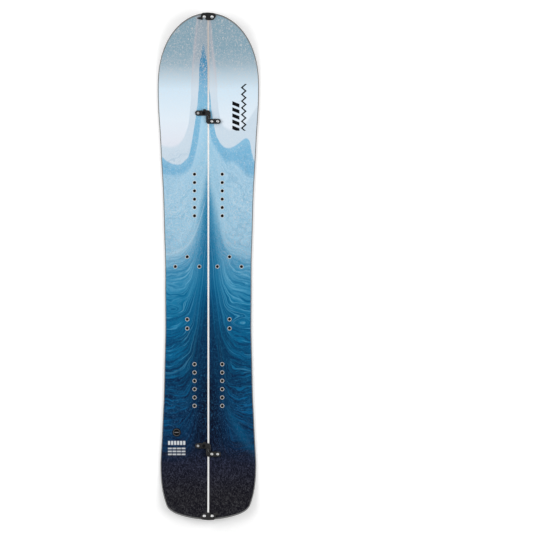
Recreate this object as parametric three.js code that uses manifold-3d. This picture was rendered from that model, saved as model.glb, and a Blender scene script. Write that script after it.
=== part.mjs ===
// Splitboard: a snowboard in two halves, held together by two tip hooks and two centre latches.
// Millimetres. x across the board, y along it with the nose at +y, z up, base on z = 0.
import * as THREE from 'three';
import { mergeVertices } from 'three/addons/utils/BufferGeometryUtils.js';
import Module from 'manifold-3d';

const wasm = await Module();
wasm.setup();

// Outline of one half, seen from above
const HALF_LENGTH = 771.5;
const WAIST_HALF = 131.5;
const WAIST_Y = -112.9;
const SIDECUT = 6.31e-5;
const WAVE = 0.4;
const WAVE_PITCH = 207;
const WAVE_Y = -91.5;
const NOSE_HALF = 154.6;
const NOSE_WIDEST_Y = 545;
const NOSE_POWER = 2.295;
const TAIL_HALF = 146.2;
const TAIL_WIDEST_Y = -597.9;
const TAIL_TAPER = 2.73e-5;
const TAIL_POWER = 2.754;
const TAIL_END_CURVE = 1.78e-3;
const TAIL_CORNER = 27.7;

// Side profile
const NOSE_START = 520;
const NOSE_LIFT = 58;
const TAIL_START = -590;
const TAIL_LIFT = 42;
const LIFT_POWER = 2.2;

// Layers, measured from the base's underside along the surface normal
const SEAM = 0.2;
const GAP = 0.25;
const STRIP_WIDTH = 2.15;
const PANEL_IN = 2.65;
const EDGE_HEIGHT = 2.0;
const BASE_THICK = 1.3;
const CORE_TOP = 7.2;
const CORE_TOP_TIP = 4.2;
const TOP_SHEET = 0.8;
const SIDEWALL_TUCK = 1.2;
const TAPER_NOSE = 490;
const TAPER_TAIL = -592;
const SPACER_NOSE = 668;
const SPACER_TAIL = -662;

// Threaded inserts for the bindings
const INSERT_X = 42.3;
const INSERT_PITCH = 25.4;
const FRONT_INSERT_Y = 154.4;
const REAR_INSERT_Y = -425.7;
const INSERTS_PER_ROW = 6;
const TOURING_POINTS = [[64.5, 29.2], [27.5, -0.6], [101, -0.6]];
const RISER_POINTS = [[64.5, -161.6], [64.5, -189.4]];
const COLLAR_R = 4.6;
const INSERT_BORE_R = 3.3;
const BLOCK_R = 7.2;
const BLOCK_FLOOR = 2;
const BLOCK_TOP = 6.8;
const INSERT_SIDES = 8;

// Tip hooks
const POST_X = 11.9;
const NOSE_INSET = 9;
const TAIL_INSET = 8.2;
const POST_R = 2.8;
const HEAD_R = 4.9;
const HOOK_FLOOR = 1.5;
const HOOK_THICK = 3;
const WASHER_R = 6.4;
const NUT_R = 4.7;
const CLEAR = 0.3;

// Centre latches
const LATCH_NOSE_Y = 468;
const LATCH_TAIL_Y = -548;
const PIVOT_X = -14;
const PLATE_THICK = 2.4;
const ARM_FLOOR = 3;
const ARM_TOP = 6;
const LATCH_SCREW_X = -31.7;
const CATCH_SCREWS = [[10.8, -25.4], [28.6, -25.4]];
const SCREW_R = 2;
const SCREW_DEPTH = 4.6;

const SURFACES = {
  core: [0xcfa874, 0.75, 0],
  spacer: [0xd8d3c6, 0.6, 0],
  topSheet: [0x5aa2cc, 0.4, 0],
  base: [0x0c0c0e, 0.35, 0],
  steel: [0x8d9094, 0.35, 1],
  innerWall: [0xf2f1ec, 0.45, 0],
  outerWall: [0x6b675f, 0.5, 0],
  insert: [0xb08a5c, 0.4, 1],
  clip: [0x151516, 0.5, 0],
  bolt: [0xc9ccd0, 0.25, 1],
  darkBolt: [0x1c1c1e, 0.4, 1],
  washer: [0x2a2a2c, 0.6, 0],
};

function smoothMin(a, b, width) {
  const h = THREE.MathUtils.clamp(0.5 + 0.5 * (b - a) / width, 0, 1);
  return b * (1 - h) + a * h - width * h * (1 - h);
}

// Distance from the seam plane to the outline at y
function halfWidth(y) {
  const fade = 1 - THREE.MathUtils.smoothstep(Math.abs(y), 380, 520);
  const wave = WAVE * fade * Math.cos(2 * Math.PI * (y - WAVE_Y) / WAVE_PITCH);
  const side = WAIST_HALF + SIDECUT * (y - WAIST_Y) ** 2 + wave;
  if (y > 0) {
    const u = THREE.MathUtils.clamp((y - NOSE_WIDEST_Y) / (HALF_LENGTH - NOSE_WIDEST_Y), 0, 1);
    return smoothMin(side, NOSE_HALF * Math.sqrt(Math.max(1 - u ** NOSE_POWER, 0)), 4.1);
  }
  const along = Math.max(TAIL_WIDEST_Y - y, 0);
  const flank = TAIL_HALF - TAIL_TAPER * along ** TAIL_POWER;
  const end = Math.sqrt(Math.max(y + HALF_LENGTH, 0) / TAIL_END_CURVE);
  return Math.max(smoothMin(side, smoothMin(flank, end, TAIL_CORNER), 0.6), 0);
}

// Height of the running surface at y
function lift(y) {
  const nose = Math.max(y - NOSE_START, 0) / (HALF_LENGTH - NOSE_START);
  const tail = Math.max(TAIL_START - y, 0) / (HALF_LENGTH + TAIL_START);
  return NOSE_LIFT * nose ** LIFT_POWER + TAIL_LIFT * tail ** LIFT_POWER;
}

function slope(y) {
  return Math.atan(lift(y + 0.5) - lift(y - 0.5));
}

function coreTop(y) {
  const nose = THREE.MathUtils.smoothstep(y, TAPER_NOSE, HALF_LENGTH);
  const tail = THREE.MathUtils.smoothstep(-y, -TAPER_TAIL, HALF_LENGTH);
  return CORE_TOP - (CORE_TOP - CORE_TOP_TIP) * (nose + tail);
}

function surfaceTop(y) {
  return coreTop(y) + GAP + TOP_SHEET;
}

// A point d above the underside, along the surface normal
function place(x, y, d) {
  const a = slope(y);
  return new THREE.Vector3(x, y - d * Math.sin(a), lift(y) + d * Math.cos(a));
}

// Plan outline of the right half from nose to tail, dense, with outward normals
function denseOutline() {
  const points = [];
  const steps = 3000;
  for (let i = 0; i <= steps; i += 1) {
    const y = HALF_LENGTH * Math.cos(Math.PI * i / steps);
    points.push(new THREE.Vector2(Math.max(halfWidth(y), SEAM), y));
  }
  return points;
}

function stationSpacing(y) {
  const bent = y > NOSE_WIDEST_Y - 15 || y < TAIL_WIDEST_Y - 10;
  return bent ? 17 : 52;
}

function outlineStations() {
  const dense = denseOutline();
  const stations = [];
  let travelled = 0;
  for (let i = 0; i < dense.length; i += 1) {
    const before = dense[Math.max(i - 1, 0)];
    const after = dense[Math.min(i + 1, dense.length - 1)];
    travelled += dense[i].distanceTo(before);
    const last = i === dense.length - 1;
    if (i > 0 && !last && travelled < stationSpacing(dense[i].y)) {
      continue;
    }
    const along = after.clone().sub(before).normalize();
    const normal = i === 0 ? new THREE.Vector2(0, 1) : new THREE.Vector2(-along.y, along.x);
    if (last) {
      normal.set(0, -1);
    }
    stations.push({ point: dense[i], normal });
    travelled = 0;
  }
  const [end, close] = [stations.at(-1), stations.at(-2)];
  if (end.point.distanceTo(close.point) < 6) {
    stations.splice(-2, 1);
  }
  return stations;
}

const STATIONS = outlineStations();

function inset(station, distance) {
  const p = station.point.clone().addScaledVector(station.normal, -distance);
  p.x = Math.max(p.x, SEAM);
  return p;
}

// Solids -----------------------------------------------------------------------------------

function signedVolume(geometry) {
  const p = geometry.attributes.position;
  const index = geometry.index;
  const [a, b, c] = [new THREE.Vector3(), new THREE.Vector3(), new THREE.Vector3()];
  let volume = 0;
  for (let i = 0; i < index.count; i += 3) {
    a.fromBufferAttribute(p, index.getX(i));
    b.fromBufferAttribute(p, index.getX(i + 1));
    c.fromBufferAttribute(p, index.getX(i + 2));
    volume += a.dot(b.cross(c)) / 6;
  }
  return volume;
}

// Welds the corners and turns every face outward
function weld(source) {
  const bare = source.clone();
  bare.deleteAttribute('normal');
  bare.deleteAttribute('uv');
  const geometry = mergeVertices(bare, 1e-4);
  if (signedVolume(geometry) < 0) {
    const index = Array.from(geometry.index.array);
    for (let i = 0; i < index.length; i += 3) {
      [index[i + 1], index[i + 2]] = [index[i + 2], index[i + 1]];
    }
    geometry.setIndex(index);
  }
  return geometry;
}

function toManifold(source) {
  const geometry = weld(source);
  const mesh = new wasm.Mesh({
    numProp: 3,
    vertProperties: new Float32Array(geometry.attributes.position.array),
    triVerts: new Uint32Array(geometry.index.array),
  });
  return new wasm.Manifold(mesh);
}

function fromManifold(manifold) {
  const mesh = manifold.getMesh();
  const geometry = new THREE.BufferGeometry();
  geometry.setAttribute('position', new THREE.BufferAttribute(mesh.vertProperties, 3));
  geometry.setIndex(new THREE.BufferAttribute(mesh.triVerts, 1));
  return geometry;
}

function combine(first, rest, operation) {
  let result = toManifold(first);
  for (const geometry of rest) {
    result = result[operation](toManifold(geometry));
  }
  return fromManifold(result);
}

function cut(geometry, tools) {
  return combine(geometry, tools, 'subtract');
}

function join(geometry, others) {
  return combine(geometry, others, 'add');
}

function mirrored(geometry) {
  return weld(geometry.clone().applyMatrix4(new THREE.Matrix4().makeScale(-1, 1, 1)));
}

// A solid through a row of four-cornered rings
function loft(rings) {
  const n = rings[0].length;
  const index = [];
  for (let i = 0; i < rings.length - 1; i += 1) {
    for (let j = 0; j < n; j += 1) {
      const a = i * n + j;
      const b = i * n + (j + 1) % n;
      index.push(a, b, b + n, a, b + n, a + n);
    }
  }
  const end = (rings.length - 1) * n;
  for (let j = 1; j < n - 1; j += 1) {
    index.push(0, j + 1, j, end, end + j, end + j + 1);
  }
  const geometry = new THREE.BufferGeometry();
  const positions = rings.flat().flatMap((p) => [p.x, p.y, p.z]);
  geometry.setAttribute('position', new THREE.Float32BufferAttribute(positions, 3));
  geometry.setIndex(index);
  return weld(geometry);
}

function rod(radius, from, to, sides) {
  const geometry = new THREE.CylinderGeometry(radius, radius, to - from, sides);
  return geometry.rotateX(Math.PI / 2).translate(0, 0, (from + to) / 2);
}

// A turned part about z; the profile is a list of [radius, height], starting and ending on it
function turned(profile, sides) {
  const points = profile.map(([r, z]) => new THREE.Vector2(r, z));
  return weld(new THREE.LatheGeometry(points, sides).rotateX(Math.PI / 2));
}

function slab(outline, from, to) {
  const shape = new THREE.Shape(outline.map(([x, y]) => new THREE.Vector2(x, y)));
  const geometry = new THREE.ExtrudeGeometry(shape, { depth: to - from, bevelEnabled: false });
  return weld(geometry.translate(0, 0, from));
}

function arc(cx, cy, radius, from, to, steps) {
  const points = [];
  for (let i = 0; i <= steps; i += 1) {
    const a = THREE.MathUtils.degToRad(from + (to - from) * i / steps);
    points.push([cx + radius * Math.cos(a), cy + radius * Math.sin(a)]);
  }
  return points;
}

function convexOutline(points) {
  const sorted = [...points].sort((p, q) => p[0] - q[0] || p[1] - q[1]);
  const turn = (o, a, b) => (a[0] - o[0]) * (b[1] - o[1]) - (a[1] - o[1]) * (b[0] - o[0]);
  const chain = (list) => {
    const kept = [];
    for (const p of list) {
      while (kept.length > 1 && turn(kept.at(-2), kept.at(-1), p) <= 1e-9) {
        kept.pop();
      }
      kept.push(p);
    }
    return kept.slice(0, -1);
  };
  return [...chain(sorted), ...chain(sorted.reverse())];
}

// Halves -----------------------------------------------------------------------------------

// Rows across the panel at steady y, between yLow and yHigh
function panelRows(yLow, yHigh) {
  const rows = STATIONS.map((s) => inset(s, PANEL_IN)).filter((p) => p.x > PANEL_IN + 4);
  const inside = rows.filter((p) => p.y > yLow + 3 && p.y < yHigh - 3);
  const at = (y) => {
    const i = rows.findIndex((p) => p.y < y);
    const [a, b] = [rows[i - 1], rows[i]];
    return new THREE.Vector2(a.x + (b.x - a.x) * (a.y - y) / (a.y - b.y), y);
  };
  if (yHigh < rows[0].y) {
    inside.unshift(at(yHigh));
  }
  if (yLow > rows.at(-1).y) {
    inside.push(at(yLow));
  }
  return inside;
}

function panel(yLow, yHigh, from, to) {
  return loft(panelRows(yLow, yHigh).map(({ x, y }) => [
    place(PANEL_IN, y, from(y)),
    place(x, y, from(y)),
    place(x, y, to(y)),
    place(PANEL_IN, y, to(y)),
  ]));
}

function outerStrip(outerLow, outerHigh, from, to) {
  const inner = STRIP_WIDTH + SEAM;
  return loft(STATIONS.map((s) => {
    const low = inset(s, outerLow);
    const high = inset(s, outerHigh);
    const back = inset(s, inner);
    return [
      place(low.x, low.y, from(low.y)),
      place(high.x, high.y, to(high.y)),
      place(back.x, back.y, to(back.y)),
      place(back.x, back.y, from(back.y)),
    ];
  }));
}

function innerStrip(from, to) {
  const end = HALF_LENGTH - PANEL_IN;
  const ys = [];
  const addRange = (start, stop, steps) => {
    for (let i = 0; i < steps; i += 1) {
      ys.push(start + (stop - start) * i / steps);
    }
  };
  addRange(end, NOSE_START, 13);
  addRange(NOSE_START, TAPER_NOSE, 2);
  addRange(TAPER_NOSE, TAPER_TAIL, 3);
  addRange(TAPER_TAIL, -end, 10);
  ys.push(-end);
  return loft(ys.map((y) => [
    place(SEAM, y, from(y)),
    place(SEAM + STRIP_WIDTH, y, from(y)),
    place(SEAM + STRIP_WIDTH, y, to(y)),
    place(SEAM, y, to(y)),
  ]));
}

// Frames at the two ends: x across, y towards that end along the surface, z along the normal
function tipFrame(end, side) {
  const insetBy = end > 0 ? NOSE_INSET : TAIL_INSET;
  const rough = end * (HALF_LENGTH - insetBy);
  const y = end * (HALF_LENGTH - insetBy * Math.cos(slope(rough)));
  const a = slope(y);
  const across = new THREE.Vector3(end, 0, 0);
  const along = new THREE.Vector3(0, end * Math.cos(a), end * Math.sin(a));
  const normal = new THREE.Vector3(0, -Math.sin(a), Math.cos(a));
  const matrix = new THREE.Matrix4().makeBasis(across, along, normal);
  return matrix.setPosition(place(0, y, side === 'top' ? surfaceTop(y) : 0));
}

function tipBores(end, radius, from, to, sides = 12) {
  return [-1, 1].map((s) => rod(radius, from, to, sides)
    .translate(s * POST_X, 0, 0).applyMatrix4(tipFrame(end, 'base')));
}

function rightOnly(bores) {
  return bores.filter((bore) => {
    bore.computeBoundingBox();
    return bore.boundingBox.min.x > 0;
  });
}

function row(x, y, count) {
  return Array.from({ length: count }, (_, i) => [x, y + i * INSERT_PITCH]);
}

const INSERT_GROUPS = {
  front_inserts: row(INSERT_X, FRONT_INSERT_Y, INSERTS_PER_ROW),
  rear_inserts: row(INSERT_X, REAR_INSERT_Y, INSERTS_PER_ROW),
  touring_inserts: TOURING_POINTS,
  riser_inserts: RISER_POINTS,
};

function blockOutline(points, radius) {
  return convexOutline(points.flatMap(([x, y]) => arc(x, y, radius, 18, 342, 9)));
}

// One reinforcement block with a threaded collar at each point
function insertBlock(points) {
  const collars = points.map(([x, y]) => rod(
    COLLAR_R, BLOCK_TOP - 0.5, CORE_TOP + GAP + TOP_SHEET, INSERT_SIDES).translate(x, y, 0));
  const bores = points.map(([x, y]) => rod(INSERT_BORE_R, 3, 12, INSERT_SIDES).translate(x, y, 0));
  const body = join(slab(blockOutline(points, BLOCK_R), BLOCK_FLOOR, BLOCK_TOP), collars);
  return cut(body, bores);
}

// Screw holes of the centre latches that fall on one half, in that half's own sense of x
function latchHoles(side) {
  const left = [[-PIVOT_X, 0, SCREW_R + 0.8], [-LATCH_SCREW_X, 0, SCREW_R]];
  const right = CATCH_SCREWS.map(([x, y]) => [x, y, SCREW_R]);
  return [LATCH_NOSE_Y, LATCH_TAIL_Y].flatMap((y0) => (side < 0 ? left : right)
    .map(([x, y, r]) => rod(r + CLEAR, CORE_TOP + GAP + TOP_SHEET - SCREW_DEPTH - CLEAR, 12, 10)
      .translate(x, y0 + y, 0)));
}

function halfBoard(side) {
  const points = Object.values(INSERT_GROUPS).flat();
  const collarHoles = points.map(([x, y]) => rod(COLLAR_R + CLEAR, 6, 12, INSERT_SIDES)
    .translate(x, y, 0));
  const pockets = Object.values(INSERT_GROUPS)
    .map((group) => slab(blockOutline(group, BLOCK_R + CLEAR), 0, 12));
  const screwHoles = latchHoles(side);
  const boltHoles = [1, -1].map((end) => rightOnly(tipBores(end, POST_R + CLEAR, -2, 12))).flat();
  const nutHoles = [1, -1].map((end) => rightOnly(tipBores(end, NUT_R + CLEAR, -2, 1.5))).flat();
  const barrelHoles = [1, -1].map((end) => rightOnly(tipBores(end, 4.3, -2, 3.9))).flat();
  const coreFloor = () => BASE_THICK + GAP;
  const lowSheet = (y) => coreTop(y) + GAP;
  const base = panel(-900, 900, () => 0, () => BASE_THICK);
  const core = panel(SPACER_TAIL, SPACER_NOSE, coreFloor, coreTop);
  const noseSpacer = panel(SPACER_NOSE + CLEAR, 900, coreFloor, coreTop);
  const tailSpacer = panel(-900, SPACER_TAIL - CLEAR, coreFloor, coreTop);
  const sheet = panel(-900, 900, lowSheet, surfaceTop);
  const strips = {
    outer_edge: [outerStrip(0, 0, () => 0, () => EDGE_HEIGHT), 'steel'],
    inner_edge: [innerStrip(() => 0, () => EDGE_HEIGHT), 'steel'],
    outer_sidewall: [
      outerStrip(GAP, SIDEWALL_TUCK, () => EDGE_HEIGHT + GAP, surfaceTop), 'outerWall'],
    inner_sidewall: [innerStrip(() => EDGE_HEIGHT + GAP, surfaceTop), 'innerWall'],
  };
  const pieces = {
    base: [cut(base, nutHoles), 'base'],
    core: [cut(core, [...pockets, ...screwHoles]), 'core'],
    nose_spacer: [cut(noseSpacer, [boltHoles[0], barrelHoles[0]]), 'spacer'],
    tail_spacer: [cut(tailSpacer, [boltHoles[1], barrelHoles[1]]), 'spacer'],
    top_sheet: [cut(sheet, [...collarHoles, ...screwHoles, ...boltHoles]), 'topSheet'],
    ...strips,
  };
  for (const [name, group] of Object.entries(INSERT_GROUPS)) {
    pieces[name] = [insertBlock(group), 'insert'];
  }
  return pieces;
}

// Tip hooks ---------------------------------------------------------------------------------

// Kidney plate: pivot on the right post, jaw open towards the board under the left post
function tipHookOutline() {
  return [
    ...arc(14.5, 2.8, 9, -52, 72, 7),
    [0, 13.2],
    ...arc(-14, 4.8, 7.8, 102, 188, 5),
    [-22.6, -1.2],
    [-32.6, -4.2],
    [-33.4, -5.6],
    [-31.6, -6.9],
    [-17.6, -11],
    [-16.9, -9.8],
    [-16.9, -5.4],
    [-16.2, -2.4],
    ...arc(-11.9, 0, 3.3, 175, 10, 7),
    [-8.7, -4.6],
    ...arc(-3.4, -6.2, 5.4, 185, 262, 4),
    [8, -11.7],
    [15.6, -10.4],
  ];
}

function tipHook() {
  const plate = slab(tipHookOutline(), HOOK_FLOOR, HOOK_FLOOR + HOOK_THICK);
  const bore = rod(POST_R + CLEAR, 0, 9, 14).translate(POST_X, 0, 0);
  return cut(plate, [bore]);
}

// Post bolt: domed head over the hook, shank down through the board into its nut
function postBolt(panelThick) {
  const under = HOOK_FLOOR + HOOK_THICK + CLEAR;
  const foot = 1.9 - panelThick;
  return turned([
    [0, foot],
    [POST_R, foot],
    [POST_R, under],
    [HEAD_R, under],
    [HEAD_R, under + 0.8],
    [HEAD_R * 0.8, under + 2],
    [HEAD_R * 0.45, under + 2.7],
    [0, under + 2.9],
  ], 12);
}

function postWasher() {
  const ring = rod(WASHER_R, 0.2, HOOK_FLOOR - GAP, 12);
  return cut(ring, [rod(POST_R + CLEAR, -1, 4, 12)]);
}

function postNut() {
  return turned([
    [0, 0.7],
    [2.6, 0.7],
    [3, 0.2],
    [NUT_R, 0.2],
    [NUT_R, 1.2],
    [4, 1.2],
    [4, 3.6],
    [POST_R + CLEAR, 3.6],
    [POST_R + CLEAR, 1.6],
    [0, 1.6],
  ], 12);
}

function tipClip(end, name) {
  const top = tipFrame(end, 'top');
  const base = tipFrame(end, 'base');
  const panelThick = new THREE.Vector3().setFromMatrixPosition(top)
    .distanceTo(new THREE.Vector3().setFromMatrixPosition(base));
  const at = (geometry, x, frame) => geometry.translate(x, 0, 0).applyMatrix4(frame);
  return {
    [`${name}_hook`]: [tipHook().applyMatrix4(top), 'clip'],
    [`${name}_pivot_bolt`]: [at(postBolt(panelThick), POST_X, top), 'bolt'],
    [`${name}_catch_bolt`]: [at(postBolt(panelThick), -POST_X, top), 'bolt'],
    [`${name}_pivot_washer`]: [at(postWasher(), POST_X, top), 'washer'],
    [`${name}_catch_washer`]: [at(postWasher(), -POST_X, top), 'washer'],
    [`${name}_pivot_nut`]: [at(postNut(), POST_X, base), 'bolt'],
    [`${name}_catch_nut`]: [at(postNut(), -POST_X, base), 'bolt'],
  };
}

// Centre latches ------------------------------------------------------------------------------

function latchPlate() {
  const outline = [
    ...arc(-32.4, 0, 8.2, 90, 270, 10),
    [-8.4, -8.2],
    [-6.6, -6.4],
    [-6.6, 6.4],
    [-8.4, 8.2],
  ];
  const plate = slab(outline, CLEAR, CLEAR + PLATE_THICK);
  const pivot = rod(SCREW_R + 0.8 + CLEAR, -1, 9, 12).translate(PIVOT_X, 0, 0);
  const sink = turned([[0, -1], [2.3, -1], [2.3, 0.9], [4.4, 2.75], [4.4, 4], [0, 4]], 12)
    .translate(LATCH_SCREW_X, 0, 0);
  return cut(plate, [pivot, sink]);
}

function latchScrew() {
  return turned([
    [0, -SCREW_DEPTH],
    [SCREW_R, -SCREW_DEPTH],
    [SCREW_R, 0.9],
    [3.9, 2.6],
    [1.6, 2.6],
    [1.3, 1.6],
    [0, 1.6],
  ], 12).translate(LATCH_SCREW_X, 0, 0);
}

// Turning arm: round about its pivot, with a finger past the seam and a thumb nub
function latchArm() {
  const outline = [
    ...arc(PIVOT_X, 0, 8.1, 90, 270, 10),
    [0.5, -8.1],
    [0.5, -16],
    [1.6, -17.2],
    [4.2, -17.2],
    [7, -13.6],
    ...arc(-2, -0.8, 9, 0, 90, 6),
  ];
  const nub = slab([[-7, 7], [-8.2, 11.6], [-15, 12.2], [-17, 7]], ARM_FLOOR, ARM_TOP + 1.4);
  const body = join(slab(outline, ARM_FLOOR, ARM_TOP), [nub]);
  const bore = rod(SCREW_R + 0.8 + CLEAR, 0, 9, 12).translate(PIVOT_X, 0, 0);
  return cut(body, [bore]);
}

function latchPivot() {
  const r = SCREW_R + 0.8;
  return turned([
    [0, -SCREW_DEPTH],
    [r, -SCREW_DEPTH],
    [r, ARM_TOP + CLEAR],
    [5.2, ARM_TOP + CLEAR],
    [5.2, ARM_TOP + 1],
    [4.4, ARM_TOP + 1.5],
    [2.2, ARM_TOP + 1.5],
    [1.9, ARM_TOP - 0.6],
    [0, ARM_TOP - 0.6],
  ], 12).translate(PIVOT_X, 0, 0);
}

function catchBody() {
  const outline = [
    [-0.5, -9],
    [-1.4, -8.6],
    [-5.8, -8.6],
    [-6.9, -10],
    ...arc(1.1, -24.9, 8, 180, 270, 6),
    ...arc(30.3, -25.3, 7.6, -90, 90, 10),
    [-0.5, -17.7],
  ];
  const body = slab(outline, CLEAR, ARM_TOP);
  const holes = CATCH_SCREWS.flatMap(([x, y]) => [
    rod(SCREW_R + CLEAR, -1, 9, 10).translate(x, y, 0),
    rod(4.5, ARM_TOP - 1.4, 9, 12).translate(x, y, 0),
  ]);
  return cut(body, holes);
}

function catchScrew(x, y) {
  const seat = ARM_TOP - 1.4 + GAP;
  return turned([
    [0, -SCREW_DEPTH],
    [SCREW_R, -SCREW_DEPTH],
    [SCREW_R, seat],
    [4.2, seat],
    [4.1, seat + 1.4],
    [2.9, seat + 2.2],
    [1.5, seat + 2.3],
    [1.2, seat + 1.2],
    [0, seat + 1.2],
  ], 12).translate(x, y, 0);
}

function centreLatch(y, name) {
  const move = (geometry) => geometry.translate(0, y, surfaceTop(0));
  const [near, far] = CATCH_SCREWS;
  return {
    [`${name}_latch_plate`]: [move(latchPlate()), 'clip'],
    [`${name}_latch_arm`]: [move(latchArm()), 'clip'],
    [`${name}_latch_pivot`]: [move(latchPivot()), 'darkBolt'],
    [`${name}_latch_screw`]: [move(latchScrew()), 'bolt'],
    [`${name}_catch`]: [move(catchBody()), 'clip'],
    [`${name}_catch_screw_near`]: [move(catchScrew(...near)), 'bolt'],
    [`${name}_catch_screw_far`]: [move(catchScrew(...far)), 'bolt'],
  };
}

// Assembly ------------------------------------------------------------------------------------

function namedMesh(name, geometry, surface) {
  const [color, roughness, metalness] = SURFACES[surface];
  const mesh = new THREE.Mesh(geometry, new THREE.MeshStandardMaterial({ color, roughness, metalness }));
  mesh.name = name;
  return mesh;
}

function assembly() {
  const pieces = {};
  for (const [name, [geometry, surface]] of Object.entries(halfBoard(1))) {
    pieces[`right_${name}`] = [geometry, surface];
  }
  for (const [name, [geometry, surface]] of Object.entries(halfBoard(-1))) {
    pieces[`left_${name}`] = [mirrored(geometry), surface];
  }
  Object.assign(pieces, tipClip(1, 'nose'), tipClip(-1, 'tail'));
  Object.assign(pieces, centreLatch(LATCH_NOSE_Y, 'front'), centreLatch(LATCH_TAIL_Y, 'rear'));
  return pieces;
}

const group = new THREE.Group();
group.name = 'splitboard';
for (const [name, [geometry, surface]] of Object.entries(assembly())) {
  group.add(namedMesh(name, geometry, surface));
}

// The row's origin is the middle of the bounding box
const box = new THREE.Box3().setFromObject(group);
const shift = -(box.min.y + box.max.y) / 2;
for (const mesh of group.children) {
  mesh.geometry.translate(0, shift, 0);
}

export default group;
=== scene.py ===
import math

import bpy
import bmesh
from mathutils import Matrix, Vector


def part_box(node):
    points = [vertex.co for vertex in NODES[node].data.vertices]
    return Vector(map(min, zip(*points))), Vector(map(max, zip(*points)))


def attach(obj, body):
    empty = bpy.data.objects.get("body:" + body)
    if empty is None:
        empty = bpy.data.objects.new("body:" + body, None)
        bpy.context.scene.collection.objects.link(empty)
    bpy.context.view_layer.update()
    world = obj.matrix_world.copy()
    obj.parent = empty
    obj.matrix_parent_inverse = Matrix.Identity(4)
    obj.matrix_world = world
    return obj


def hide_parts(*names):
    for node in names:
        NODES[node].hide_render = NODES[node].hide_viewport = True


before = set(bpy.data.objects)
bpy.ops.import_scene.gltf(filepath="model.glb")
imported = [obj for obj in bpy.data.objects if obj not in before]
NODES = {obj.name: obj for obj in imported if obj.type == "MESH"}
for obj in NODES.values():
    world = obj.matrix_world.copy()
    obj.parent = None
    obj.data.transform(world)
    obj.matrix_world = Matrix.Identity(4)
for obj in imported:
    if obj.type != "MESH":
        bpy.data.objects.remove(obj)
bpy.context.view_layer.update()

# ---------------------------------------------------------------------------------------------
# The board's outline and profile, in millimetres, as in the CAD model
HALF_LENGTH = 771.5
NOSE_START, NOSE_LIFT = 520, 58
TAIL_START, TAIL_LIFT = -590, 42
LIFT_POWER = 2.2
CORE_TOP, CORE_TOP_TIP = 7.2, 4.2
TAPER_NOSE, TAPER_TAIL = 490, -592
SEAM, STRIP, PANEL_IN = 0.2, 2.35, 2.65
EDGE_H, BASE_H, GAP, SHEET = 2.0, 1.3, 0.25, 0.8
INSERT_X, PITCH = 42.3, 25.4
FRONT_Y, REAR_Y = 154.4, -425.7
TOURING = [(64.5, 29.2), (27.5, -0.6), (101, -0.6)]
RISER = [(64.5, -161.6), (64.5, -189.4)]
POST_X, NOSE_INSET, TAIL_INSET = 11.9, 9, 8.2
HOOK_LOW, HOOK_TOP = 1.5, 4.5
LATCH_Y = {"front": 468, "rear": -548}
PIVOT_X, LATCH_SCREW_X = -14, -31.7
ARM_LOW, ARM_TOP = 3, 6
CATCH_SCREWS = {"near": (10.8, -25.4), "far": (28.6, -25.4)}
TOP = CORE_TOP + GAP + SHEET
# Radii of holes and insert collars, and of the ring printed round each insert
BOLT_HOLE, NUT_HOLE, SCREW_HOLE, COLLAR_HOLE, COLLAR = 3.1, 4.95, 2.3, 4.85, 4.6
RING = (4.3, 6.0)

low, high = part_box("front_latch_pivot")
SHIFT = (low.y + high.y) / 2 * 1000 - LATCH_Y["front"]


def smoothstep(x, a, b):
    t = min(max((x - a) / (b - a), 0), 1)
    return t * t * (3 - 2 * t)


def smooth_min(a, b, width):
    h = min(max(0.5 + 0.5 * (b - a) / width, 0), 1)
    return b * (1 - h) + a * h - width * h * (1 - h)


def half_width(y):
    """Half the board's width at y: sidecut, round nose and blunt tail, blended into each other."""
    wave = 0.4 * (1 - smoothstep(abs(y), 380, 520)) * math.cos(2 * math.pi * (y + 91.5) / 207)
    side = 131.5 + 6.31e-5 * (y + 112.9) ** 2 + wave
    if y > 0:
        u = min(max((y - 545) / (HALF_LENGTH - 545), 0), 1)
        return smooth_min(side, 154.6 * math.sqrt(max(1 - u ** 2.295, 0)), 4.1)
    flank = 146.2 - 2.73e-5 * max(-597.9 - y, 0) ** 2.754
    end = math.sqrt(max(y + HALF_LENGTH, 0) / 1.78e-3)
    return max(smooth_min(side, smooth_min(flank, end, 27.7), 0.6), 0)


def lift(y):
    """How far the base rises off the floor towards the tips."""
    nose = max(y - NOSE_START, 0) / (HALF_LENGTH - NOSE_START)
    tail = max(TAIL_START - y, 0) / (HALF_LENGTH + TAIL_START)
    return NOSE_LIFT * nose ** LIFT_POWER + TAIL_LIFT * tail ** LIFT_POWER


def slope(y):
    return math.atan(lift(y + 0.5) - lift(y - 0.5))


def surface_top(y):
    taper = smoothstep(y, TAPER_NOSE, HALF_LENGTH) + smoothstep(-y, -TAPER_TAIL, HALF_LENGTH)
    return CORE_TOP - (CORE_TOP - CORE_TOP_TIP) * taper + GAP + SHEET


def place(x, y, d):
    """The point d above the base's underside at (x, y), square to the lifted tips."""
    a = slope(y)
    return (x, y - d * math.sin(a), lift(y) + d * math.cos(a))


def outline_stations():
    """Points round one half's outer edge, as (x, y, normal x, normal y), closer at the tips."""
    steps = 4000
    dense = []
    for i in range(steps + 1):
        y = HALF_LENGTH * math.cos(math.pi * i / steps)
        dense.append((max(half_width(y), SEAM), y))
    stations = []
    travelled = 0.0
    for i, (x, y) in enumerate(dense):
        bx, by = dense[max(i - 1, 0)]
        ax, ay = dense[min(i + 1, steps)]
        travelled += math.hypot(x - bx, y - by)
        bent = y > 490 or y < -585
        if 0 < i < steps and travelled < (4.0 if bent else 14.0):
            continue
        length = math.hypot(ax - bx, ay - by)
        normal = (-(ay - by) / length, (ax - bx) / length)
        if i == 0:
            normal = (0.0, 1.0)
        if i == steps:
            normal = (0.0, -1.0)
        stations.append((x, y, *normal))
        travelled = 0.0
    if stations[-2][0] < 2:
        stations.pop(-2)
    return stations


STATIONS = outline_stations()


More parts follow.
